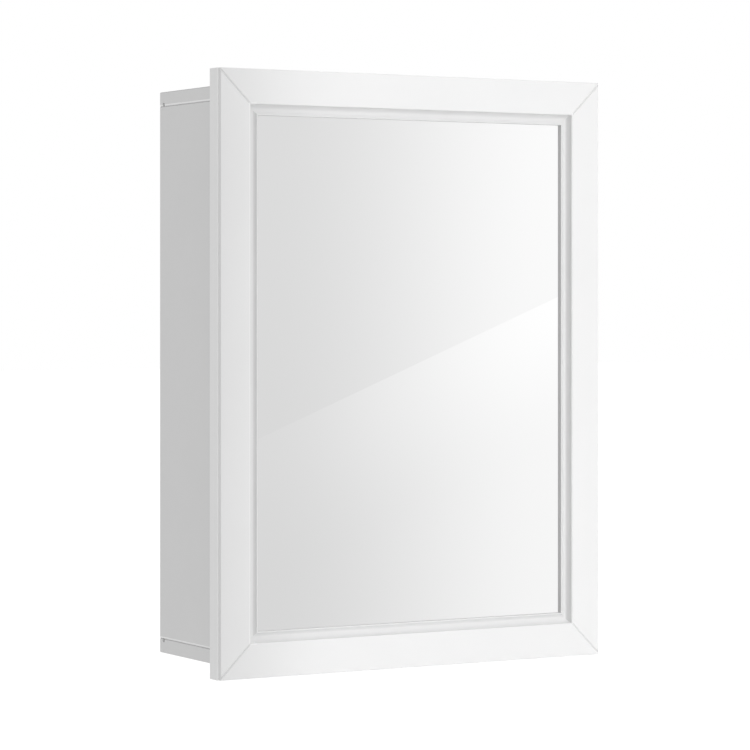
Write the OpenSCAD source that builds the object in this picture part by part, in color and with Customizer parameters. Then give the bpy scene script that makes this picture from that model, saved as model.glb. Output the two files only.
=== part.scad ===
// Wall-hung medicine cabinet with one framed mirror door.
// Origin: on the wall plane, midway along the bottom rear edge of the carcass.
// X runs to the right, the front faces -Y and Z is up.

/* [Carcass] */
// Outer width of the carcass
cabinet_w = 365; // [320:1:440]
// Outer height of the carcass
cabinet_h = 498; // [400:1:620]
// Depth of the carcass panels from the wall to their front edges
cabinet_d = 119.5; // [98:0.5:150]
// Thickness of the top, bottom and side panels
panel_t = 12.7; // [10:0.1:14.4]
// Chamfer on the edges of the boards
ease = 0.7; // [0.2:0.1:0.8]
// Thickness of the back panel
back_t = 3; // [2.5:0.1:4]
// Gap between the wall and the back panel
back_inset = 5.6; // [4:0.1:8]
// Depth of the grooves that hold the back panel
groove_depth = 3; // [2.5:0.1:5.5]
// Play of the back panel in its grooves
groove_play = 0.2; // [0.1:0.05:0.5]

/* [Hanging rails] */
// Height of each hanging rail
rail_h = 50; // [40:1:60]
// Thickness of each hanging rail
rail_t = 12; // [10:0.1:15]
// Distance between the two wall screw holes of a rail
wall_hole_pitch = 240; // [200:1:260]
// Radius of a wall screw hole
wall_hole_r = 2.75; // [2.25:0.05:3.25]

/* [Shelves] */
// Thickness of a shelf
shelf_t = 12; // [9:0.5:15]
// Distance from the carcass front back to the front edge of a shelf
shelf_setback = 10; // [8:0.5:20]
// Gap between a shelf and each side panel
shelf_gap = 1; // [0.5:0.1:2]
// Vertical distance between shelf pin holes
pin_pitch = 32; // [20:1:40]
// Radius of a shelf pin
shelf_pin_r = 2.5; // [2:0.1:3]

/* [Door] */
// Thickness of the door frame
door_t = 18; // [16:0.5:22]
// Overhang of the door past each side of the carcass
door_side_over = 12.5; // [11:0.1:15]
// Overhang of the door above the carcass
door_top_over = 13.2; // [8:0.1:18]
// Overhang of the door below the carcass
door_bottom_over = 9.8; // [8:0.1:18]
// Gap between the carcass front and the closed door
door_gap = 1.5; // [1.3:0.1:3]
// Width of the frame bars, from the door edge to the mirror
frame_w = 39.4; // [38.4:0.1:50]
// Width of the hollow moulding along the mirror
moulding_w = 9.3; // [8.8:0.1:10.5]
// Radius of the hollow in the moulding
scoop_r = 4.6; // [4.2:0.1:4.7]
// Depth of the centre of the hollow below the front face
scoop_depth = 1.4; // [1:0.1:1.5]
// Depth of the bead beside the mirror below the front face
bead_depth = 4.2; // [4:0.1:5]
// Width of the bead beside the mirror
bead_w = 1.4; // [1.2:0.1:1.6]
// Width of the slope from the hollow up to the bead
rise_w = 2.4; // [1.8:0.1:2.4]
// Depth of the mirror face below the front face
mirror_depth = 7; // [6.8:0.1:8]
// Thickness of the mirror glass
mirror_t = 4; // [3:0.5:5]
// Thickness of the board behind the mirror
backing_t = 3; // [2.5:0.1:4]
// Width of the rebate that holds the mirror
rebate_w = 4; // [3.5:0.1:4.2]
// Play around the mirror in its rebate
mirror_play = 1; // [0.5:0.1:1.5]
// Radius of the edge between the flat of the frame and its moulding
arris_r = 0.8; // [0.4:0.1:1.3]
// Half width and depth of the V groove at each mitre
mitre_v = 0.9; // [0.4:0.1:1]
// Width of the step along the front of the door's two sides
edge_step = 1.4; // [0.8:0.1:1.5]
// Depth of that step
edge_step_depth = 3.6; // [2:0.1:4]

/* [Hinges] */
// Distance from the door's top and bottom edges to the hinge centres
hinge_inset = 80; // [75:1:100]
// Distance of the hinge pin outside the carcass side
pin_out = 4.5; // [4.5:0.1:5]
// Distance of the hinge pin inside the back face of the door
pin_in = 2.6; // [2.5:0.1:2.8]
// Radius of the hinge pin
hinge_pin_r = 1.2; // [1:0.05:1.3]
// Radius of the knuckle around the hinge pin
knuckle_r = 2.2; // [2:0.05:2.3]
// Thickness of the hinge arm
arm_t = 2.2; // [1.6:0.1:2.4]
// Thickness of the hinge mounting plate
plate_t = 1.9; // [1.5:0.1:2.5]
// Depth of the hinge cup
cup_depth = 11; // [9:0.1:11.2]
// Thickness of the flange of the hinge cup
flange_t = 0.9; // [0.6:0.1:1]

/* [Fittings] */
// Radius of the cam housings
cam_r = 7.5; // [6:0.1:8]
// Distance from a panel joint to the cam centre
cam_reach = 24; // [20:1:30]
// Radius of the dowels
dowel_r = 3; // [2.5:0.1:3.5]
// Width of the catch housing
catch_w = 9; // [8.5:0.1:10]
// Height of the catch housing between its ears
catch_h = 28; // [24:1:34]
// Depth of the catch housing
catch_d = 14; // [12:0.5:18]
// Radius of the wood screws
screw_r = 1.5; // [1.2:0.05:1.6]

/* [Hidden] */
$fn = 64;
eps = 0.5;                 // how far cutting shapes run past what they cut
fit = 0.05;                // radial clearance of dowels, pins and screws
loose = 0.2;               // clearance of parts dropped into pockets
hinge_clear = 0.4;         // space around the knuckle and arm in the cup
cup_wall = 1.1;            // thinnest wall of the hinge cup

inner_w = cabinet_w - 2 * panel_t;
side_h = cabinet_h - 2 * panel_t;
side_in = inner_w / 2;
side_mid = side_in + panel_t / 2;
top_z = cabinet_h - panel_t;

back_y = -back_inset - back_t;
groove_w = back_t + groove_play;
rail_y = back_y - rail_t;
rail_zs = [top_z - rail_h / 2, panel_t + rail_h / 2];
shelf_d = cabinet_d - shelf_setback + back_y - shelf_gap;
bay_h = (side_h - 2 * shelf_t) / 3;
shelf_zs = [panel_t + bay_h, panel_t + 2 * bay_h + shelf_t];

door_w = cabinet_w + 2 * door_side_over;
door_h = cabinet_h + door_top_over + door_bottom_over;
door_z = -door_bottom_over;
door_mid_z = door_z + door_h / 2;
door_back_y = -cabinet_d - door_gap;
door_front_y = door_back_y - door_t;
flat_w = frame_w - moulding_w;
floor_depth = scoop_depth + scoop_r;
mitre_l = 1.5 * frame_w;    // half length of the cutting blocks, longer than a mitre
glass_inset = frame_w - rebate_w + mirror_play;
glass_w = door_w - 2 * glass_inset;
glass_h = door_h - 2 * glass_inset;
glass_y = door_front_y + mirror_depth;
backing_y = glass_y + mirror_t;
recess = door_t - mirror_depth - mirror_t - backing_t;

pin_x = cabinet_w / 2 + pin_out;
pin_y = door_back_y - pin_in;
pin_edge = door_side_over - pin_out;
hinge_zs = [door_z + door_h - hinge_inset, door_z + hinge_inset];
arm_x = side_in - plate_t - arm_t;
arm_reach = pin_x - arm_x;
pocket_near = pin_edge - knuckle_r - hinge_clear;
pocket_far = pin_edge + arm_reach + 1.5 * hinge_clear;
pocket_l = pocket_far - pocket_near;
pocket_h = 8;
knuckle_h = pocket_h - 1.5 * hinge_clear;
pocket_depth = cup_depth - 2;
cup_r = pocket_l / 2 + cup_wall;
cup_x = door_w / 2 - pocket_near - pocket_l / 2;
ear_pitch = 38;            // between the two screws of a hinge cup
ear_r = 5;
ear_offset = 4;            // ears sit this far inward of the cup centre
plate_front = 10;          // from the carcass front to the plate
plate_l = 38;
plate_h = 14;
wing_setback = 37;         // from the carcass front to the plate screws
wing_w = 12;
wing_pitch = 32;
arm_h = 12;
arm_screw_r = 2;

dowel_ys = [-0.26 * cabinet_d, -0.78 * cabinet_d];
dowel_short = 7;           // dowel length inside a panel's face
dowel_long = 15;           // dowel length inside a panel's end
cam_y = -cabinet_d / 2;
cam_t = 9.4;
bolt_r = 3;
bolt_thread_r = 2.5;
bolt_thread_l = 8;
bolt_head_r = 3.2;
cover_t = 0.8;
pin_columns = [-cabinet_d + wing_setback, back_y - 24];
shelf_pin_l = 8;
pin_tab_h = 11;
pin_tab_w = 9;
pin_tab_t = 1.2;
spoon_l = 8;
spoon_t = 2;

screw_l = 9;
head_r = 2.8;
head_t = 1.6;
clip_w = 12;
clip_t = 1;
clip_l = 11.5;
clip_in = frame_w - clip_l; // from the door edge to a clip
clip_hole = 4.2;           // from the end of a clip to its screw
clip_foot = 3;
catch_z = cabinet_h / 2;
catch_ear = 9;
catch_ear_t = 3;
catch_proud = 0.8;         // how far the pole plates stand out
catch_gap = 0.3;           // between the pole plates and the strike
magnet_setback = 1;
magnet_w = 4;
magnet_d = 8;
magnet_h = 20;
pole_t = 1.2;
strike_h = 40;
strike_t = door_gap - catch_gap;
bumper_r = 4;
bumper_t = door_gap - loose;
bumper_inset = 20;
spline_t = 3;
spline_l = 24;
spline_w = 16;

catch_x = -side_in + catch_w / 2;
catch_y = -cabinet_d + catch_proud;
clip_stile_zs = [for (k = [1, 3]) door_z + door_h * k / 4];
clip_rail_xs = [for (k = [1, 3]) -door_w / 2 + door_w * k / 4];

// ---- shared shapes ----

// A cylinder along +X or +Y that starts at the origin
module along_x(r, l) { rotate([0, 90, 0]) cylinder(r = r, h = l); }
module along_y(r, l) { rotate([-90, 0, 0]) cylinder(r = r, h = l); }

// The outline of a board seen from one side: both corners at y = 0 are chamfered,
// and those at y = b too where back is true
module eased_rect(a, b, back = true) {
    far = back ? ease : 0;
    polygon([[0, ease], [ease, 0], [a - ease, 0], [a, ease],
        [a, b - far], [a - far, b], [far, b], [0, b - far]]);
}

// A board with its low corner at the origin, chamfered on every edge but those of its rear face
module board(size) {
    intersection() {
        translate([0, size.y, 0]) rotate([90, 0, 0]) linear_extrude(size.y) eased_rect(size.x, size.z);
        linear_extrude(size.z) eased_rect(size.x, size.y, false);
        rotate([90, 0, 90]) linear_extrude(size.x) mirror([1, -1]) eased_rect(size.z, size.y, false);
    }
}

// What is cut from a square corner at the origin to round it, where the solid lies on +X and +Y
module round_cut(r) {
    difference() {
        translate([-eps, -eps]) square(r + eps);
        translate([r, r]) circle(r = r);
    }
}

// A wood screw along +X: the head lies before the origin, the shank after it
module pan_screw(r = screw_r, l = screw_l) {
    along_x(r, l - r);
    translate([l - r, 0, 0]) rotate([0, 90, 0]) cylinder(r1 = r, r2 = r / 4, h = r);
    difference() {
        rotate([0, -90, 0]) cylinder(r1 = head_r, r2 = head_r * 0.7, h = head_t);
        for (turn = [0, 90]) rotate([turn, 0, 0])
            translate([-head_t - eps, -head_r / 2, -r / 5]) cube([eps + head_t / 2, head_r, r * 2 / 5]);
    }
}

// A flush countersunk screw along +X whose head face is at the origin
module flat_screw(r = screw_r, l = screw_l) {
    difference() {
        union() {
            along_x(r, l - r);
            translate([l - r, 0, 0]) rotate([0, 90, 0]) cylinder(r1 = r, r2 = r / 4, h = r);
            rotate([0, 90, 0]) cylinder(r1 = 2 * r, r2 = r, h = r);
        }
        for (turn = [0, 90]) rotate([turn, 0, 0])
            translate([-eps, -r, -r / 5]) cube([eps + r / 2, 2 * r, r * 2 / 5]);
    }
}

// The hole that a flush screw needs
module flat_screw_hole(r = screw_r, l = screw_l) {
    along_x(r + fit, l + fit);
    rotate([0, 90, 0]) cylinder(r1 = 2 * r + fit, r2 = r + fit, h = r);
    translate([-eps, 0, 0]) along_x(2 * r + fit, eps);
}

// A dowel along +Z, centred on the joint plane, with chamfered ends
module dowel(below, above) {
    tip = dowel_r / 4;
    translate([0, 0, -below]) cylinder(r1 = dowel_r - tip, r2 = dowel_r, h = tip);
    translate([0, 0, tip - below]) cylinder(r = dowel_r, h = below + above - 2 * tip);
    translate([0, 0, above - tip]) cylinder(r1 = dowel_r, r2 = dowel_r - tip, h = tip);
}

// Places its children at the left and right ends of the top and bottom joints.
// Local +Z points out of the carcass through the top or bottom panel, and local +X points outward.
module at_corners() {
    for (side = [0, 1], end = [0, 1])
        mirror([side, 0, 0]) translate([0, 0, end * cabinet_h]) mirror([0, 0, 1 - end])
            translate([side_mid, 0, -panel_t]) children();
}

// Places its children at the four ends of the hanging rails, local +Z pointing outward
module at_rail_dowels() {
    for (side = [0, 1], z = rail_zs, up = [-1, 1])
        mirror([side, 0, 0]) translate([side_in, rail_y + rail_t / 2, z + up * rail_h / 4])
            rotate([0, 90, 0]) children();
}

// ---- carcass ----

// The groove of the back panel, cut into a face at z = 0 and as long as the panel
module back_groove(length) {
    translate([-length / 2 - eps, -back_inset - groove_w, -groove_depth])
        cube([length + 2 * eps, groove_w, groove_depth + eps]);
}

// The top panel, lying below z = cabinet_h; the bottom panel is its mirror image
module end_panel() {
    difference() {
        translate([-cabinet_w / 2, -cabinet_d, top_z]) board([cabinet_w, cabinet_d, panel_t]);
        translate([0, 0, top_z]) mirror([0, 0, 1]) back_groove(cabinet_w);
        for (side = [-1, 1]) translate([side * side_mid, 0, top_z]) {
            for (y = dowel_ys) translate([0, y, -eps])
                cylinder(r = dowel_r + fit, h = dowel_short + loose + eps);
            translate([0, cam_y, -eps])
                cylinder(r = bolt_thread_r + fit, h = bolt_thread_l + loose + eps);
        }
    }
}

module top_panel() { color("whitesmoke") end_panel(); }
module bottom_panel() { color("whitesmoke") translate([0, 0, cabinet_h]) mirror([0, 0, 1]) end_panel(); }

// The left or right side panel, drawn on the right
module side_panel() {
    difference() {
        translate([side_in, -cabinet_d, panel_t]) board([panel_t, cabinet_d, side_h]);
        translate([side_in, 0, cabinet_h / 2]) rotate([0, -90, 0]) back_groove(side_h);
        for (end = [0, 1]) translate([side_mid, 0, end * cabinet_h]) mirror([0, 0, 1 - end])
            translate([0, 0, -panel_t]) {
                for (y = dowel_ys) translate([0, y, -dowel_long - loose])
                    cylinder(r = dowel_r + fit, h = dowel_long + loose + eps);
                translate([0, cam_y, -cam_reach]) {
                    cylinder(r = bolt_head_r + loose, h = cam_reach + eps);
                    translate([-panel_t / 2 - eps, 0, 0])
                        along_x(cam_r + loose / 2, cam_t + loose / 2 + eps);
                }
            }
        for (z = rail_zs, up = [-1, 1]) translate([side_in - eps, rail_y + rail_t / 2, z + up * rail_h / 4])
            along_x(dowel_r + fit, dowel_short + loose + eps);
        for (z = shelf_zs, row = [-1, 0, 1], y = pin_columns)
            translate([side_in - eps, y, z - pin_tab_h / 2 + row * pin_pitch])
                along_x(shelf_pin_r + fit, shelf_pin_l + loose + eps);
    }
}

module left_side_panel() {
    color("whitesmoke") difference() {
        mirror([1, 0, 0]) side_panel();
        at_catch_screws() translate([-eps, 0, 0]) along_x(screw_r + fit, screw_l + loose + eps);
    }
}

module right_side_panel() {
    color("whitesmoke") difference() {
        side_panel();
        at_plate_screws() along_x(screw_r + fit, screw_l + loose);
    }
}

module back_panel() {
    play = groove_play;
    w = inner_w + 2 * groove_depth - 2 * play;
    h = side_h + 2 * groove_depth - 2 * play;
    color("white") difference() {
        translate([-w / 2, back_y, cabinet_h / 2 - h / 2]) cube([w, back_t, h]);
        wall_holes();
    }
}

// The four wall screw holes, through both rails and the back panel
module wall_holes() {
    for (x = [-1, 1], z = rail_zs) translate([x * wall_hole_pitch / 2, rail_y - eps, z])
        along_y(wall_hole_r, rail_t + back_t + 2 * eps);
}

module hanging_rail(z) {
    difference() {
        translate([-side_in, rail_y, z - rail_h / 2]) board([inner_w, rail_t, rail_h]);
        wall_holes();
        at_rail_dowels() translate([0, 0, -dowel_long - loose])
            cylinder(r = dowel_r + fit, h = dowel_long + loose + eps);
    }
}

module upper_hanging_rail() { color("whitesmoke") hanging_rail(rail_zs[0]); }
module lower_hanging_rail() { color("whitesmoke") hanging_rail(rail_zs[1]); }

// ---- shelves ----

module shelf(z) {
    w = inner_w - 2 * shelf_gap;
    translate([-w / 2, -cabinet_d + shelf_setback, z]) board([w, shelf_d, shelf_t]);
}

module upper_shelf() { color("whitesmoke") shelf(shelf_zs[1]); }
module lower_shelf() { color("whitesmoke") shelf(shelf_zs[0]); }

// A bent steel shelf support on the right side panel, with its top at z = 0
module shelf_pin() {
    translate([0, 0, -pin_tab_h / 2]) along_x(shelf_pin_r, shelf_pin_l);
    translate([-pin_tab_t, -pin_tab_w / 2, -pin_tab_h]) cube([pin_tab_t, pin_tab_w, pin_tab_h]);
    translate([-spoon_l, -pin_tab_w / 2, -spoon_t]) cube([spoon_l, pin_tab_w, spoon_t]);
}

module shelf_pins(z) {
    for (side = [0, 1], y = pin_columns) mirror([side, 0, 0]) translate([side_in, y, z]) shelf_pin();
}

module upper_shelf_pins() { color("silver") shelf_pins(shelf_zs[1]); }
module lower_shelf_pins() { color("silver") shelf_pins(shelf_zs[0]); }

// ---- carcass fittings ----

// A cam bolt screwed into the top or bottom panel, its head inside the cam
module cam_bolts() {
    neck_r = bolt_r * 0.6;
    head_l = 3;
    color("silver") at_corners() translate([0, cam_y, 0]) {
        cylinder(r = bolt_thread_r, h = bolt_thread_l);
        translate([0, 0, -cam_reach + 2 * head_l]) cylinder(r = bolt_r, h = cam_reach - 2 * head_l);
        translate([0, 0, -cam_reach]) cylinder(r = neck_r, h = 2 * head_l + eps);
        translate([0, 0, -cam_reach]) cylinder(r = bolt_head_r, h = head_l);
    }
}

// A cam housing in the face of a side panel, slotted for the bolt head
module cam_locks() {
    slot = bolt_head_r + loose;
    color("silver") at_corners() translate([-panel_t / 2, cam_y, -cam_reach]) difference() {
        along_x(cam_r, cam_t);
        translate([panel_t / 2 - slot, -slot, -slot]) cube([cam_t, 2 * slot, cam_r + slot + eps]);
        for (turn = [0, 90]) rotate([turn, 0, 0]) translate([-eps, -3, -0.7]) cube([1.5 + eps, 6, 1.4]);
    }
}

// A thin plastic cap over each cam
module cam_covers() {
    color("white") at_corners() translate([-panel_t / 2, cam_y, -cam_reach])
        rotate([0, -90, 0]) cylinder(r1 = cam_r + 1, r2 = cam_r + 0.4, h = cover_t);
}

module panel_dowels() {
    color("burlywood") at_corners() for (y = dowel_ys) translate([0, y, 0]) dowel(dowel_long, dowel_short);
}

module rail_dowels() { color("burlywood") at_rail_dowels() dowel(dowel_long, dowel_short); }

// ---- hinges, cabinet side ----

module at_plate_screws(z_list = hinge_zs) {
    for (z = z_list, up = [-1, 1])
        translate([side_in - plate_t, -cabinet_d + wing_setback, z + up * wing_pitch / 2]) children();
}

module at_arm_screw(z) {
    translate([arm_x, -cabinet_d + plate_front + plate_l / 4, z]) children();
}

module hinge_plate(z) {
    difference() {
        union() {
            translate([side_in - plate_t, -cabinet_d + plate_front, z - plate_h / 2])
                cube([plate_t, plate_l, plate_h]);
            translate([side_in - plate_t, -cabinet_d + wing_setback - wing_w / 2, z - wing_pitch / 2])
                cube([plate_t, wing_w, wing_pitch]);
            at_plate_screws([z]) along_x(wing_w / 2, plate_t);
        }
        at_plate_screws([z]) flat_screw_hole();
        at_arm_screw(z) along_x(arm_screw_r + fit, arm_t + plate_t + eps);
    }
}

module upper_hinge_plate() { color("silver") hinge_plate(hinge_zs[0]); }
module lower_hinge_plate() { color("silver") hinge_plate(hinge_zs[1]); }

// The cranked arm: a knuckle on the pin, a leg along the door and a leg back into the carcass
module hinge_arm(z) {
    crank_l = plate_front - eps - arm_h / 4;
    difference() {
        union() {
            translate([pin_x, pin_y, z - knuckle_h / 2]) cylinder(r = knuckle_r, h = knuckle_h);
            translate([arm_x, pin_y - arm_t / 2, z - knuckle_h / 2]) cube([arm_reach, arm_t, knuckle_h]);
            translate([arm_x, pin_y - arm_t / 2, z - knuckle_h / 2])
                cube([arm_t, -cabinet_d + plate_front - pin_y + arm_t, knuckle_h]);
            translate([arm_x, -cabinet_d + crank_l, z - arm_h / 2])
                cube([arm_t, plate_front - crank_l + plate_l - 2, arm_h]);
        }
        translate([pin_x, pin_y, z - knuckle_h]) cylinder(r = hinge_pin_r + fit, h = 2 * knuckle_h);
        at_arm_screw(z) translate([-eps, 0, 0]) along_x(arm_screw_r + fit, arm_t + 2 * eps);
    }
}

module upper_hinge_arm() { color("silver") hinge_arm(hinge_zs[0]); }
module lower_hinge_arm() { color("silver") hinge_arm(hinge_zs[1]); }

module hinge_plate_screws() { color("silver") at_plate_screws() flat_screw(); }

module hinge_arm_screws() {
    color("silver") for (z = hinge_zs) at_arm_screw(z) pan_screw(arm_screw_r, arm_t + plate_t);
}

// ---- door frame ----

// Section of a frame bar: x is the depth behind the front face, y the distance from the door edge.
// Only the stiles are stepped.
module frame_section(stepped) {
    difference() {
        square([door_t, frame_w]);
        if (stepped) {
            translate([-eps, -eps]) square([edge_step_depth + eps, edge_step + eps]);
            translate([0, edge_step]) round_cut(ease);
        }
        translate([stepped ? edge_step_depth : 0, 0]) round_cut(ease);
        translate([door_t, 0]) mirror([1, 0]) round_cut(ease);
        translate([0, flat_w]) mirror([0, 1]) round_cut(arris_r);
        translate([-eps, flat_w]) square([scoop_depth + eps, frame_w]);
        translate([scoop_depth, flat_w + scoop_r]) circle(r = scoop_r);
        polygon([[-eps, flat_w + scoop_r], [floor_depth, flat_w + scoop_r],
            [floor_depth, frame_w - bead_w - rise_w], [bead_depth, frame_w - bead_w],
            [bead_depth, frame_w + eps], [-eps, frame_w + eps]]);
        translate([bead_depth, frame_w]) mirror([0, 1]) round_cut(bead_w / 3);
        translate([mirror_depth, frame_w - rebate_w]) square([door_t, rebate_w + eps]);
    }
}

// Places its children at both mitres of a bar, local +Z along the mitre and +X out of the bar
module at_mitres(bar_l) {
    for (end = [0, 1]) mirror([end, 0, 0]) translate([bar_l / 2, 0, 0]) rotate([0, -45, 0]) children();
}

// A bar along X with mitred ends, its outer edge at z = 0 and its front face at y = 0.
// Where it is stepped, the step lies along the bar, and otherwise across its ends.
module frame_bar(bar_l, stepped) {
    mid = frame_w / sqrt(2);
    difference() {
        translate([-bar_l / 2, 0, 0]) rotate([90, 0, 90]) linear_extrude(bar_l) frame_section(stepped);
        if (!stepped) for (side = [-1, 1]) translate([side * bar_l / 2, edge_step_depth / 2 - eps, 0])
            cube([2 * edge_step, edge_step_depth + 2 * eps, 4 * edge_step], center = true);
        at_mitres(bar_l) {
            translate([0, -eps, -mitre_l]) cube([mitre_l, door_t + 2 * eps, 2 * mitre_l]);
            rotate([0, 0, 45]) translate([0, 0, mitre_l / 2])
                cube([mitre_v * sqrt(2), mitre_v * sqrt(2), 3 * mitre_l], center = true);
            translate([-spline_w / 2, mirror_depth + fit, mid - spline_l / 2])
                cube([spline_w, spline_t, spline_l]);
        }
    }
}

// Each place turns a bar so that its outer edge lies on one edge of the door
module place_bottom() { translate([0, door_front_y, door_z]) children(); }
module place_top() { translate([0, door_front_y, door_z + door_h]) mirror([0, 0, 1]) children(); }
module place_left() { translate([-door_w / 2, door_front_y, door_mid_z]) rotate([0, 90, 0]) children(); }
module place_right() { translate([door_w / 2, door_front_y, door_mid_z]) rotate([0, -90, 0]) children(); }

module bottom_rail() {
    color("white") difference() {
        place_bottom() frame_bar(door_w, false);
        clip_screw_holes();
    }
}

module top_rail() {
    color("white") difference() {
        place_top() frame_bar(door_w, false);
        clip_screw_holes();
    }
}

module left_stile() {
    color("white") difference() {
        place_left() frame_bar(door_h, true);
        clip_screw_holes();
        at_strike() flat_screw_hole();
    }
}

module right_stile() {
    color("white") difference() {
        place_right() frame_bar(door_h, true);
        clip_screw_holes();
        for (z = hinge_zs) at_cup(z) {
            translate([0, 0, -eps]) cylinder(r = cup_r + fit, h = cup_depth + loose + eps);
            at_ears() translate([0, 0, -flange_t]) rotate([0, -90, 0]) flat_screw_hole();
        }
    }
}

// A thin key glued across each mitre, inside the frame
module mitre_splines() {
    mid = frame_w / sqrt(2);
    length = spline_l - 2 * fit;
    width = spline_w - 2 * fit;
    color("burlywood") for (half = [0, 1])
        translate([0, door_front_y, door_mid_z]) mirror([0, 0, half]) translate([0, 0, -door_h / 2])
            at_mitres(door_w) translate([-width / 2, mirror_depth + 2 * fit, mid - length / 2])
                cube([width, spline_t - 2 * fit, length]);
}

module mirror_glass() {
    color("lightsteelblue") translate([-glass_w / 2, glass_y, door_z + glass_inset])
        cube([glass_w, mirror_t, glass_h]);
}

module mirror_backing() {
    color("tan") translate([-glass_w / 2, backing_y, door_z + glass_inset])
        cube([glass_w, backing_t, glass_h]);
}

// Places its children at the eight mirror clips, on the back face of the door.
// Local +X points from the door edge to the mirror and local +Z out of the back face.
module at_clips() {
    for (x = clip_rail_xs, up = [-1, 1])
        translate([x, door_back_y, door_mid_z + up * (door_h / 2 - clip_in)])
            rotate([-90, 0, 0]) rotate([0, 0, up * 90]) children();
    for (z = clip_stile_zs, side = [-1, 1])
        translate([side * (door_w / 2 - clip_in), door_back_y, z])
            rotate([-90, 0, 0]) rotate([0, 0, 90 + side * 90]) children();
}

// Places its children at the screws of the clips, local +X pointing into the frame
module at_clip_screws() { at_clips() translate([clip_hole, 0, clip_t]) rotate([0, 90, 0]) children(); }
module clip_screw_holes() { at_clip_screws() flat_screw_hole(); }

module mirror_clips() {
    color("white") difference() {
        at_clips() {
            translate([0, -clip_w / 2, 0]) cube([clip_l, clip_w, clip_t]);
            translate([clip_l - clip_foot, -clip_w / 2, -recess]) cube([clip_foot, clip_w, recess]);
        }
        at_clip_screws() flat_screw_hole();
    }
}

module clip_screws() { color("silver") at_clip_screws() flat_screw(); }

// ---- hinges, door side ----

// Local +Z points into the door from its back face, local +Y up
module at_cup(z) { translate([cup_x, door_back_y, z]) rotate([90, 0, 0]) children(); }
module at_ears() { for (up = [-1, 1]) translate([-ear_offset, up * ear_pitch / 2, 0]) children(); }

module hinge_cup(z) {
    at_cup(z) difference() {
        union() {
            cylinder(r = cup_r, h = cup_depth);
            translate([0, 0, -flange_t]) {
                cylinder(r = cup_r + 0.6, h = flange_t);
                at_ears() cylinder(r = ear_r, h = flange_t);
                translate([-ear_offset - ear_r, -ear_pitch / 2, 0]) cube([2 * ear_r, ear_pitch, flange_t]);
            }
        }
        translate([-pocket_l / 2, -pocket_h / 2, -flange_t - eps])
            cube([pocket_l, pocket_h, flange_t + pocket_depth + eps]);
        translate([pin_x - cup_x, cup_r, pin_in]) rotate([90, 0, 0])
            cylinder(r = hinge_pin_r + fit / 2, h = 2 * cup_r);
        at_ears() translate([0, 0, -flange_t]) rotate([0, -90, 0]) flat_screw_hole();
    }
}

module upper_hinge_cup() { color("silver") hinge_cup(hinge_zs[0]); }
module lower_hinge_cup() { color("silver") hinge_cup(hinge_zs[1]); }

module hinge_cup_screws() {
    color("silver") for (z = hinge_zs) at_cup(z) at_ears()
        translate([0, 0, -flange_t]) rotate([0, -90, 0]) flat_screw();
}

module hinge_pin(z) {
    length = 2 * (sqrt(pow(cup_r, 2) - pow(pin_x - cup_x + hinge_pin_r, 2)) - loose);
    translate([pin_x, pin_y, z - length / 2]) cylinder(r = hinge_pin_r, h = length);
}

module upper_hinge_pin() { color("dimgray") hinge_pin(hinge_zs[0]); }
module lower_hinge_pin() { color("dimgray") hinge_pin(hinge_zs[1]); }

// ---- magnetic catch ----

module at_catch() { translate([catch_x, catch_y, catch_z]) children(); }

module at_catch_screws() {
    for (up = [-1, 1])
        translate([-side_in, catch_y + catch_d / 2, catch_z + up * (catch_h + catch_ear) / 2])
            mirror([1, 0, 0]) children();
}

module catch_housing() {
    pocket_w = magnet_w + 2 * pole_t + loose;
    color("white") difference() {
        union() {
            at_catch() translate([-catch_w / 2, 0, -catch_h / 2]) cube([catch_w, catch_d, catch_h]);
            at_catch() translate([-catch_w / 2, 2, -catch_h / 2 - catch_ear])
                cube([catch_ear_t, catch_d - 4, catch_h + 2 * catch_ear]);
        }
        at_catch() translate([-pocket_w / 2, -eps, -magnet_h / 2 - loose / 2])
            cube([pocket_w, magnet_setback + magnet_d + loose + eps, magnet_h + loose]);
        at_catch_screws() translate([-catch_ear_t - eps, 0, 0])
            along_x(screw_r + fit, catch_ear_t + 2 * eps);
    }
}

module catch_magnet() {
    color("dimgray") at_catch() translate([-magnet_w / 2, magnet_setback, -magnet_h / 2])
        cube([magnet_w, magnet_d, magnet_h]);
}

module catch_pole_plates() {
    color("silver") at_catch() for (side = [0, 1]) mirror([side, 0, 0])
        translate([magnet_w / 2, -catch_proud, -magnet_h / 2])
            cube([pole_t, catch_proud + magnet_setback + magnet_d, magnet_h]);
}

module catch_screws() {
    color("silver") at_catch_screws() translate([-catch_ear_t, 0, 0]) pan_screw();
}

// Local +X points into the door from the strike's exposed face
module at_strike() {
    translate([catch_x, door_back_y + strike_t, catch_z]) rotate([0, 0, -90]) children();
}

module strike_plate() {
    color("silver") difference() {
        translate([catch_x - catch_w / 2, door_back_y, catch_z - strike_h / 2])
            cube([catch_w, strike_t, strike_h]);
        at_strike() flat_screw_hole();
    }
}

module strike_screw() { color("silver") at_strike() flat_screw(); }

module door_bumpers() {
    color("gainsboro") for (z = [panel_t + bumper_inset, top_z - bumper_inset])
        translate([-side_mid, door_back_y, z]) rotate([-90, 0, 0])
            cylinder(r1 = bumper_r, r2 = bumper_r * 0.8, h = bumper_t);
}

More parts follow.
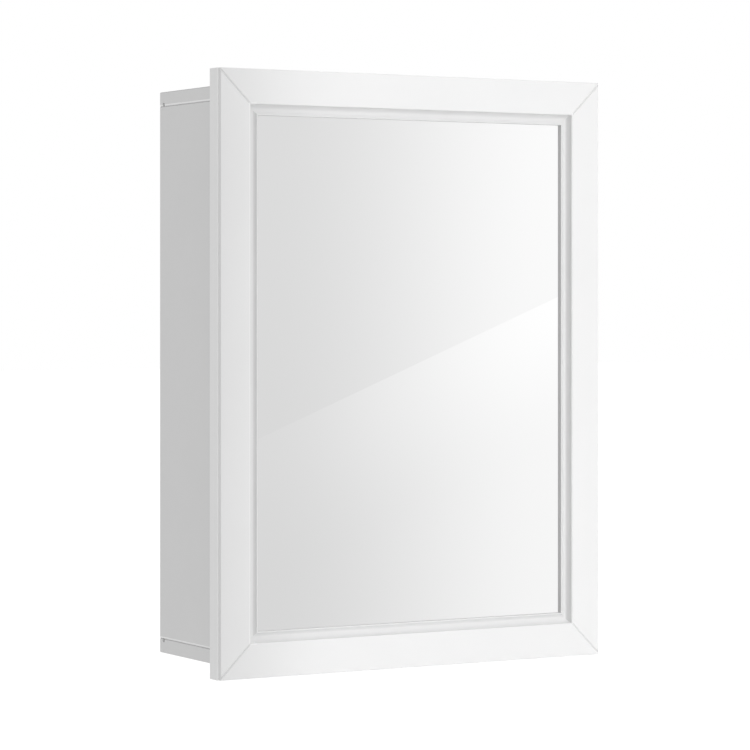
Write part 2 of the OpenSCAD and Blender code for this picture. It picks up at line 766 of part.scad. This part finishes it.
top_panel();
bottom_panel();
left_side_panel();
right_side_panel();
back_panel();
upper_hanging_rail();
lower_hanging_rail();
upper_shelf();
lower_shelf();
upper_shelf_pins();
lower_shelf_pins();
cam_bolts();
cam_locks();
cam_covers();
panel_dowels();
rail_dowels();
upper_hinge_plate();
lower_hinge_plate();
upper_hinge_arm();
lower_hinge_arm();
hinge_plate_screws();
hinge_arm_screws();
catch_housing();
catch_magnet();
catch_pole_plates();
catch_screws();
left_stile();
right_stile();
top_rail();
bottom_rail();
mitre_splines();
mirror_glass();
mirror_backing();
mirror_clips();
clip_screws();
upper_hinge_cup();
lower_hinge_cup();
hinge_cup_screws();
upper_hinge_pin();
lower_hinge_pin();
strike_plate();
strike_screw();
door_bumpers();
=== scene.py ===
import math

import bpy
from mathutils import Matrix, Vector


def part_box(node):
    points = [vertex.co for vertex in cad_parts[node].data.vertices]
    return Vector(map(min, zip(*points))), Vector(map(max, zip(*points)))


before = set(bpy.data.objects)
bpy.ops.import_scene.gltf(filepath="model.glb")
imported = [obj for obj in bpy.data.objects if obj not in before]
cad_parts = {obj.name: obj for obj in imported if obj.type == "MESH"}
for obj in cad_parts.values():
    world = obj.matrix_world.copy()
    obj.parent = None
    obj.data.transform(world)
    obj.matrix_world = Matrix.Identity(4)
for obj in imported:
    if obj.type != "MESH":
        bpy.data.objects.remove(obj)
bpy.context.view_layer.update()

MM = 0.001


# ---------------------------------------------------------------- shader helpers


class Shader:
    """A node material on the Principled shader, with patterns placed by object position in metres."""

    def __init__(self, name):
        self.material = bpy.data.materials.new(name)
        self.material.use_nodes = True
        self.tree = self.material.node_tree
        self.surface = self.tree.nodes["Principled BSDF"]
        self.position = self.node("ShaderNodeTexCoord").outputs["Object"]

    def node(self, kind, **settings):
        made = self.tree.nodes.new(kind)
        for key, value in settings.items():
            setattr(made, key, value)
        return made

    def link(self, source, target):
        self.tree.links.new(source, target)

    def feed(self, socket, value):
        """Links value to the socket if it is a socket itself, and sets it otherwise."""
        if isinstance(value, bpy.types.NodeSocket):
            self.link(value, socket)
        elif socket.type == "RGBA":
            socket.default_value = (*value, 1)
        else:
            socket.default_value = value

    def set(self, **values):
        for key, value in values.items():
            self.feed(self.surface.inputs[key.replace("_", " ")], value)

    def math(self, operation, first, second=0.0):
        made = self.node("ShaderNodeMath", operation=operation)
        self.feed(made.inputs[0], first)
        self.feed(made.inputs[1], second)
        return made.outputs["Value"]

    def plus(self, first, *others):
        for other in others:
            first = self.math("ADD", first, other)
        return first

    def times(self, first, *others):
        for other in others:
            first = self.math("MULTIPLY", first, other)
        return first

    def component(self, vector, axis):
        made = self.node("ShaderNodeSeparateXYZ")
        self.link(vector, made.inputs["Vector"])
        return made.outputs[axis.upper()]

    def along(self, axis):
        """Object position along x, y or z, in metres."""
        return self.component(self.position, axis)

    def facing(self, axis):
        """The direction of the face along x, y or z of the object, from -1 to 1."""
        turned = self.node("ShaderNodeVectorTransform", vector_type="NORMAL",
                           convert_from="WORLD", convert_to="OBJECT")
        self.link(self.node("ShaderNodeNewGeometry").outputs["True Normal"], turned.inputs["Vector"])
        return self.component(turned.outputs["Vector"], axis)

    def edges(self):
        """1 on chamfers, grooves and rounded edges, which lie askew to all three axes, and 0 elsewhere."""
        square = [self.math("ABSOLUTE", self.facing(axis)) for axis in "xyz"]
        most = self.math("MAXIMUM", self.math("MAXIMUM", square[0], square[1]), square[2])
        return self.ramp(most, 1, 0, 0.85, 0.98)

    def outside(self, low, high):
        """Distance in metres from an upright opening, given by two corners, to the surface around it."""
        away = []
        for axis in "xz":
            start, end = getattr(low, axis), getattr(high, axis)
            from_middle = self.math("SUBTRACT", self.along(axis), (start + end) / 2)
            away.append(self.math("SUBTRACT", self.math("ABSOLUTE", from_middle), (end - start) / 2))
        return self.math("MAXIMUM", *away)

    def between(self, value, start, end, soft):
        """1 while value lies between start and end, fading over soft beyond them."""
        return self.times(self.ramp(value, 0, 1, start - soft, start),
                          self.ramp(value, 1, 0, end, end + soft))

    def noise(self, size, detail=3.0, roughness=0.5, stretch=(1, 1, 1)):
        """Noise from 0 to 1 with features about size metres across, drawn out along an axis whose
        stretch is low."""
        scaled = self.node("ShaderNodeVectorMath", operation="MULTIPLY")
        self.link(self.position, scaled.inputs[0])
        scaled.inputs[1].default_value = stretch
        made = self.node("ShaderNodeTexNoise")
        made.inputs["Scale"].default_value = 1 / size
        made.inputs["Detail"].default_value = detail
        made.inputs["Roughness"].default_value = roughness
        self.link(scaled.outputs["Vector"], made.inputs["Vector"])
        return made.outputs["Fac"]

    def cells(self, size):
        """Distance to the nearest of scattered points about size metres apart, in shares of size."""
        made = self.node("ShaderNodeTexVoronoi", feature="F1")
        made.inputs["Scale"].default_value = 1 / size
        self.link(self.position, made.inputs["Vector"])
        return made.outputs["Distance"]

    def ramp(self, factor, low, high, start=0.3, end=0.7):
        """Maps factor from start..end onto low..high, as a number that eases in and out."""
        made = self.node("ShaderNodeMapRange", interpolation_type="SMOOTHSTEP")
        made.inputs["From Min"].default_value = start
        made.inputs["From Max"].default_value = end
        made.inputs["To Min"].default_value = low
        made.inputs["To Max"].default_value = high
        self.feed(made.inputs["Value"], factor)
        return made.outputs["Result"]

    def mix(self, factor, first, second):
        """Colour from first to second by factor."""
        made = self.node("ShaderNodeMix", data_type="RGBA")
        self.feed(made.inputs["Factor"], factor)
        colours = [socket for socket in made.inputs if socket.type == "RGBA"]
        for socket, colour in zip(colours, (first, second)):
            self.feed(socket, colour)
        return next(socket for socket in made.outputs if socket.type == "RGBA")

    def clouds(self, size, first, second):
        """Colour that drifts from first to second over patches about size metres across."""
        return self.mix(self.ramp(self.noise(size), 0, 1), first, second)

    def bump(self, height, depth):
        """Raises the surface by height times depth metres."""
        made = self.node("ShaderNodeBump")
        made.inputs["Distance"].default_value = depth
        self.link(height, made.inputs["Height"])
        self.link(made.outputs["Normal"], self.surface.inputs["Normal"])

    def sprayed(self, peel_size):
        """Orange peel with features peel_size metres across, and a few dust nibs."""
        nibs = self.ramp(self.cells(16 * MM), 1, 0, 0.01, 0.02)
        self.bump(self.plus(self.noise(peel_size, detail=2), nibs), 0.02 * MM)


def shade(colour, share):
    return tuple(channel * share for channel in colour)


def grey(level):
    return (level, level, level)


# ---------------------------------------------------------------- materials

PANEL_WHITE = grey(0.78)
SEAM_CHAMFER = 0.4 * MM       # how much of the chamfer above a seam is left out of the painted highlight
SEAM_HIGHLIGHT = 1.2 * MM          # height of the painted highlight line above it

DOOR_WHITE = grey(0.92)
MIRROR_COVERED = 3 * MM       # how far the frame laps over each edge of the glass
# Bands of the door frame, by their distance outwards from the glass that shows
MOULDING = (-MM, 9.2 * MM)
ARRIS = (8.5 * MM, 10.4 * MM)
FLAT = (11 * MM, 37 * MM)
EDGE_STEP = (37 * MM, 38.4 * MM)
# By how much painted shade darkens the coat and makes it rougher: on faces that turn left or down, over
# all
# # of the moulding, in the mitres and on the step
SHADE_LEFT = 0.22
SHADE_DOWN = 0.09
SHADE_MOULDING = 0.07
SHADE_MITRE = 0.08
SHADE_STEP = 0.12

SCREEN_PITCH = 1.6 * MM       # of the wire marks on raw hardboard


def panel_lacquer():
    """Sprayed satin lacquer: faint clouds, orange peel, a few dust nibs, and eased edges that are darker
    and rougher where they face up, a painted shade in the seams that partly stands for dust. The outer
    face above each seam of the carcass carries a painted highlight line."""
    shader = Shader("white_panel_lacquer")
    seams = [seam + SEAM_CHAMFER for seam in (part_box("bottom_panel")[1].z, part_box("top_panel")[0].z)]
    # Painted shade: up-facing eased edges, such as the lower wall of each seam groove, are darkened to
    # 0.72 of the white and made rougher, partly as dust.
    dust_and_seam_shade = shader.times(shader.edges(), shader.ramp(shader.noise(25 * MM), 0.8, 1),
                         shader.ramp(shader.facing("z"), 0, 1, 0.3, 0.6))
    height = shader.along("z")
    # Painted highlight: a near-white line on the outer side faces just above each seam.
    lines = shader.plus(*(shader.between(height, seam, seam + SEAM_HIGHLIGHT, 0.2 * MM) for seam in seams))
    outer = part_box("top_panel")[1].x - MM
    outside = shader.math("GREATER_THAN", shader.math("ABSOLUTE", shader.along("x")), outer)
    face = shader.clouds(90 * MM, shade(PANEL_WHITE, 0.99), PANEL_WHITE)
    face_with_dust_and_shade = shader.mix(dust_and_seam_shade, face, shade(PANEL_WHITE, 0.72))
    shader.set(
        Base_Color=shader.mix(shader.times(lines, outside), face_with_dust_and_shade, grey(0.99)),
        Roughness=shader.plus(shader.ramp(shader.noise(30 * MM), 0.41, 0.49), shader.times(dust_and_seam_shade, 0.3)),
    )
    shader.sprayed(1.2 * MM)
    return shader.material


def door_lacquer():
    """The same lacquer on the door frame, with painted shade as if lit from the upper right: the narrow
    faces of the moulding and the edge that turn left or down are painted darker and made rougher, as are
    the mitres and, a little, the rest of the moulding. The edge of the flat on the left stile, where the
    door is opened, carries a painted highlight."""
    shader = Shader("white_door_lacquer")
    low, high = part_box("mirror_glass")
    hidden = Vector((MIRROR_COVERED, 0, MIRROR_COVERED))
    away = shader.outside(low + hidden, high - hidden)
    # Painted shade, as if lit from the upper right: faces turning left or down are darkened, and so are
    # the whole moulding, the mitre grooves and the riser of the edge step; the same mask also raises the
    # roughness.
    left = shader.ramp(shader.facing("x"), 1, 0, -0.6, 0)
    down = shader.ramp(shader.facing("z"), 1, 0, -0.6, 0)
    turned_away_shade = shader.plus(shader.times(left, SHADE_LEFT), shader.times(down, SHADE_DOWN), SHADE_MOULDING)
    moulding = shader.times(turned_away_shade, shader.between(away, *MOULDING, 0.1 * MM))
    mitre = shader.times(shader.edges(), SHADE_MITRE, shader.between(away, *FLAT, 0.3 * MM))
    step = shader.times(left, SHADE_STEP, shader.between(away, *EDGE_STEP, 0.3 * MM))
    painted_shade = shader.times(shader.plus(moulding, mitre, step), shader.ramp(shader.noise(40 * MM), 0.94, 1))
    # Painted highlight: a near-white band along the arris of the flat on the left stile.
    arris_highlight = shader.times(shader.between(away, *ARRIS, 0.2 * MM),
                           shader.math("LESS_THAN", shader.along("x"), low.x),
                           shader.ramp(shader.facing("x"), 0, 1, -0.3, 0))
    clean = shader.clouds(90 * MM, shade(DOOR_WHITE, 0.985), DOOR_WHITE)
    shader.set(
        Base_Color=shader.mix(painted_shade, shader.mix(arris_highlight, clean, grey(0.995)), grey(0)),
        Roughness=shader.plus(shader.ramp(shader.noise(30 * MM), 0.31, 0.39), painted_shade),
    )
    shader.sprayed(2.2 * MM)
    return shader.material


def hardboard(name, front):
    """Pressed fibre board: smooth with the front colour on -y, and raw and screen-marked on +y."""
    shader = Shader(name)
    raw = shader.ramp(shader.facing("y"), 0, 1, 0.5, 0.9)
    fibres = shader.noise(1.5 * MM, detail=6, roughness=0.7, stretch=(1, 1, 0.35))
    brown = shader.mix(shader.ramp(fibres, 0, 1), (0.17, 0.095, 0.045), (0.30, 0.18, 0.095))
    shader.set(
        Base_Color=shader.mix(raw, shader.clouds(70 * MM, shade(front, 0.98), front), brown),
        Roughness=shader.plus(shader.ramp(fibres, 0.46, 0.54), shader.times(raw, 0.3)),
    )
    wires = [shader.math("SINE", shader.times(shader.along(axis), 2 * math.pi / SCREEN_PITCH))
             for axis in "xz"]
    screen = shader.times(shader.plus(*wires), raw, 0.4)
    shader.bump(shader.plus(fibres, screen), 0.06 * MM)
    return shader.material


def beech():
    """Raw beech: straight grain along z with short dark ray flecks."""
    shader = Shader("raw_beech")
    grain = shader.noise(1.2 * MM, detail=4, stretch=(1, 1, 0.08))
    flecks = shader.ramp(shader.noise(0.8 * MM, detail=1, stretch=(1, 1, 0.25)), 0, 0.5, 0.62, 0.70)
    wood = shader.mix(shader.ramp(grain, 0, 1), (0.56, 0.36, 0.20), (0.68, 0.48, 0.30))
    shader.set(
        Base_Color=shader.mix(flecks, wood, (0.36, 0.20, 0.10)),
        Roughness=shader.ramp(grain, 0.55, 0.7),
    )
    shader.bump(grain, 0.05 * MM)
    return shader.material


def mirror_glass():
    """Silvered glass: a mirror with faint smudges in front, green at the ground edges and rolled grey
    paint behind."""
    shader = Shader("silvered_mirror_glass")
    front = shader.ramp(shader.facing("y"), 1, 0, -0.9, -0.5)
    behind = shader.ramp(shader.facing("y"), 0, 1, 0.5, 0.9)
    strokes = shader.ramp(shader.noise(8 * MM, stretch=(1, 1, 0.2)), 0, 1)
    rolled = shader.mix(strokes, (0.23, 0.25, 0.26), (0.27, 0.29, 0.30))
    edge_or_back = shader.mix(behind, (0.30, 0.45, 0.38), rolled)
    smudges = shader.ramp(shader.noise(45 * MM), 0, 0.03, 0.5, 0.75)
    shader.set(
        Base_Color=shader.mix(front, edge_or_back, grey(0.933)),
        Metallic=front,
        Roughness=shader.math("MAXIMUM", shader.ramp(front, 0.4, 0.0, 0, 1), smudges),
    )
    return shader.material


def plated_steel(name, colour, roughness, spangle):
    """Plated sheet and wire: drawing lines, clouded plating and crystals about spangle metres across."""
    shader = Shader(name)
    lines = shader.noise(0.4 * MM, detail=3, stretch=(1, 0.06, 1))
    crystals = shader.cells(spangle)
    dulled = shader.ramp(lines, roughness - 0.08, roughness + 0.04)
    shader.set(
        Metallic=1.0,
        Base_Color=shader.clouds(12 * MM, shade(colour, 0.86), colour),
        Roughness=shader.plus(dulled, shader.times(crystals, 0.10)),
    )
    shader.bump(shader.plus(lines, crystals), 0.012 * MM)
    return shader.material


def moulded_plastic():
    """White plastic from a spark-eroded mould: an even fine grain, with flow marks in its sheen."""
    shader = Shader("moulded_white_plastic")
    flow = shader.ramp(shader.noise(15 * MM, detail=2, stretch=(1, 1, 0.3)), 0, 1)
    shader.set(
        Base_Color=shader.mix(flow, (0.79, 0.79, 0.775), (0.83, 0.83, 0.82)),
        Roughness=shader.ramp(flow, 0.36, 0.46, 0, 1),
        Subsurface_Weight=0.05,
    )
    shader.bump(shader.noise(0.35 * MM, detail=1), 0.012 * MM)
    return shader.material


def ferrite():
    """Sintered magnet: near black, ground flat, with pale grains and small chips."""
    shader = Shader("sintered_ferrite")
    grain = shader.noise(0.3 * MM, detail=4, roughness=0.7)
    chips = shader.ramp(shader.cells(3 * MM), 1, 0, 0.08, 0.16)
    shader.set(
        Base_Color=shader.mix(shader.ramp(grain, 0, 1), (0.035, 0.035, 0.038), (0.085, 0.085, 0.09)),
        Roughness=shader.ramp(grain, 0.42, 0.6),
    )
    shader.bump(shader.math("SUBTRACT", grain, chips), 0.05 * MM)
    return shader.material


def clear_rubber():
    """Soft clear bumper: milky inside, with a satin skin that has picked up a little dust."""
    shader = Shader("clear_soft_bumper")
    dust = shader.ramp(shader.noise(1.5 * MM, detail=4), 0, 1)
    shader.set(
        Base_Color=shader.mix(dust, (0.80, 0.82, 0.82), (0.88, 0.90, 0.90)),
        Roughness=shader.ramp(dust, 0.2, 0.4, 0, 1),
        Transmission_Weight=0.6,
        IOR=1.45,
    )
    shader.bump(dust, 0.01 * MM)
    return shader.material


MATERIALS = {
    "white_panel": panel_lacquer(),
    "white_door": door_lacquer(),
    "white_board": hardboard("white_faced_hardboard", (0.78, 0.78, 0.775)),
    "brown_board": hardboard("brown_hardboard", (0.22, 0.13, 0.07)),
    "raw_beech": beech(),
    "mirror": mirror_glass(),
    "nickel": plated_steel("nickel_plate", (0.72, 0.70, 0.66), 0.22, 6 * MM),
    "zinc": plated_steel("zinc_plate", (0.55, 0.56, 0.58), 0.36, 1.5 * MM),
    "white_plastic": moulded_plastic(),
    "ferrite": ferrite(),
    "clear_rubber": clear_rubber(),
}


def dress_nodes():
    """Gives every CAD node the material named by its slot in model.glb."""
    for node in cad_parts.values():
        for slot in node.material_slots:
            slot.material = MATERIALS[slot.material.name.split(".")[0]]


# ---------------------------------------------------------------- studio

AZIMUTH = math.radians(30.15)
CAMERA_PLACE = Vector((-1.385, -2.451, 0.3174))
CAMERA_LENS = 146.9
CAMERA_SHIFT = -0.106
UPRIGHT = math.pi / 2

LIGHT_LEVEL = 0.715           # of the white all round
LIGHT_RISE = 0.10             # how much brighter it is from BRIGHT_SIDE, and dimmer from opposite
BRIGHT_SIDE = Vector((0.35, -0.75, 0.55)).normalized()

FLOOR_HALF = 30
FLOOR_LEVEL = -0.55
FLOOR_GLOW = 0.42

CARD_REACH = 2.0              # how far off the card is, in distances from the eye to the mirror
CARD_MARGIN = 0.25


def place(name, data, location=(0, 0, 0)):
    made = bpy.data.objects.new(name, data)
    made.location = location
    bpy.context.scene.collection.objects.link(made)
    return made


def add_camera():
    data = bpy.data.cameras.new("camera")
    data.sensor_width = 36
    data.lens = CAMERA_LENS
    data.shift_y = CAMERA_SHIFT
    camera = place("camera", data, CAMERA_PLACE)
    camera.rotation_euler = (UPRIGHT, 0, -AZIMUTH)
    bpy.context.scene.camera = camera


def add_world():
    """Plain white where the camera looks, and a softer white as light, brighter from the upper right
    in front."""
    world = bpy.data.worlds.new("studio")
    world.use_nodes = True
    tree = world.node_tree
    tree.nodes.clear()
    direction = tree.nodes.new("ShaderNodeTexCoord").outputs["Generated"]
    towards = tree.nodes.new("ShaderNodeVectorMath")
    towards.operation = "DOT_PRODUCT"
    tree.links.new(direction, towards.inputs[0])
    towards.inputs[1].default_value = BRIGHT_SIDE
    level = tree.nodes.new("ShaderNodeMath")
    level.operation = "MULTIPLY_ADD"
    tree.links.new(towards.outputs["Value"], level.inputs[0])
    level.inputs[1].default_value = LIGHT_RISE
    level.inputs[2].default_value = LIGHT_LEVEL
    seen = tree.nodes.new("ShaderNodeBackground")
    lighting = tree.nodes.new("ShaderNodeBackground")
    tree.links.new(level.outputs["Value"], lighting.inputs["Strength"])
    for background in (seen, lighting):
        background.inputs["Color"].default_value = (1, 1, 1, 1)
    mix = tree.nodes.new("ShaderNodeMixShader")
    output = tree.nodes.new("ShaderNodeOutputWorld")
    tree.links.new(tree.nodes.new("ShaderNodeLightPath").outputs["Is Camera Ray"], mix.inputs["Fac"])
    tree.links.new(lighting.outputs["Background"], mix.inputs[1])
    tree.links.new(seen.outputs["Background"], mix.inputs[2])
    tree.links.new(mix.outputs["Shader"], output.inputs["Surface"])
    bpy.context.scene.world = world


def add_plane(name, corners):
    """A stage sheet through four corners, given in order around it."""
    mesh = bpy.data.meshes.new(name)
    mesh.from_pydata(corners, [], [(0, 1, 2, 3)])
    plane = place(name, mesh)
    return plane


def add_floor():
    """A pale floor under the cabinet, lit up for the camera so that it runs into the white behind."""
    around = [(-1, -1), (1, -1), (1, 1), (-1, 1)]
    floor = add_plane("studio_floor", [(x * FLOOR_HALF, y * FLOOR_HALF, FLOOR_LEVEL) for x, y in around])
    floor.visible_glossy = False
    shader = Shader("studio_floor")
    seen = shader.node("ShaderNodeLightPath").outputs["Is Camera Ray"]
    shader.set(Base_Color=grey(0.9), Roughness=0.8, Emission_Color=grey(1),
               Emission_Strength=shader.times(seen, FLOOR_GLOW))
    floor.data.materials.append(shader.material)


def add_area_light(name, size, energy, location, turn):
    """An upright area light that neither the camera nor a reflection sees. At turn 0 it shines along
    +y, and a turn in radians swings it towards -x."""
    data = bpy.data.lights.new(name, "AREA")
    data.shape = "RECTANGLE"
    data.size, data.size_y = size
    data.energy = energy
    light = place(name, data, location)
    light.rotation_euler = (UPRIGHT, 0, turn)
    light.visible_camera = False
    light.visible_glossy = False
    return light


def add_lights():
    """A box with a grid in front of the door, whose light fades over the left stile, and a strip far
    to the right, just forward of the door, that catches the edges facing it."""
    key = add_area_light("key", size=(0.8, 1.2), energy=0.75, location=(0.245, -0.55, 0.25), turn=0)
    key.data.spread = math.radians(30)
    add_area_light("side", size=(0.1, 1.0), energy=6, location=(2.2, -0.18, 0.25), turn=math.pi / 2)


def add_mirror_card():
    """A card that only the mirror sees, out where the camera's view is reflected to.
    Its own x and z run from 0 to 1 over what the glass shows. It gets brighter to the right and
    upwards, and a glare starts along a slanting line and fades below it and to the left."""
    low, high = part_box("mirror_glass")
    eye = Vector((CAMERA_PLACE.x, 2 * low.y - CAMERA_PLACE.y, CAMERA_PLACE.z))

    def beyond(x, z):
        return eye + CARD_REACH * (Vector((x, low.y, z)) - eye)

    corner, far = beyond(low.x, low.z), beyond(high.x, high.z)
    start, end = -CARD_MARGIN, 1 + CARD_MARGIN
    card = add_plane("mirror_card", [(start, 0, start), (end, 0, start), (end, 0, end), (start, 0, end)])
    card.location = corner
    card.scale = (far.x - corner.x, 1, far.z - corner.z)
    card.visible_camera = card.visible_diffuse = card.visible_shadow = False
    shader = Shader("mirror_card")
    x, z = shader.along("x"), shader.along("z")
    plain = shader.times(shader.ramp(x, 0.765, 1.035, 0, 1), shader.ramp(z, 0.95, 1.0, 0, 1))
    slanting = shader.plus(0.37, shader.times(x, 0.28))
    below = shader.math("SUBTRACT", slanting, z)
    glare = shader.times(shader.ramp(below, 0.055, 0, 0, 0.3), shader.math("GREATER_THAN", below, 0),
                         shader.ramp(x, 0.3, 1, 0, 0.45))
    shader.set(Base_Color=grey(0), Specular_IOR_Level=0.0, Emission_Color=grey(1),
               Emission_Strength=shader.plus(plain, glare))
    card.data.materials.append(shader.material)


add_camera()
add_world()
add_floor()
add_lights()
add_mirror_card()
dress_nodes()
bpy.context.scene.view_settings.view_transform = "Standard"
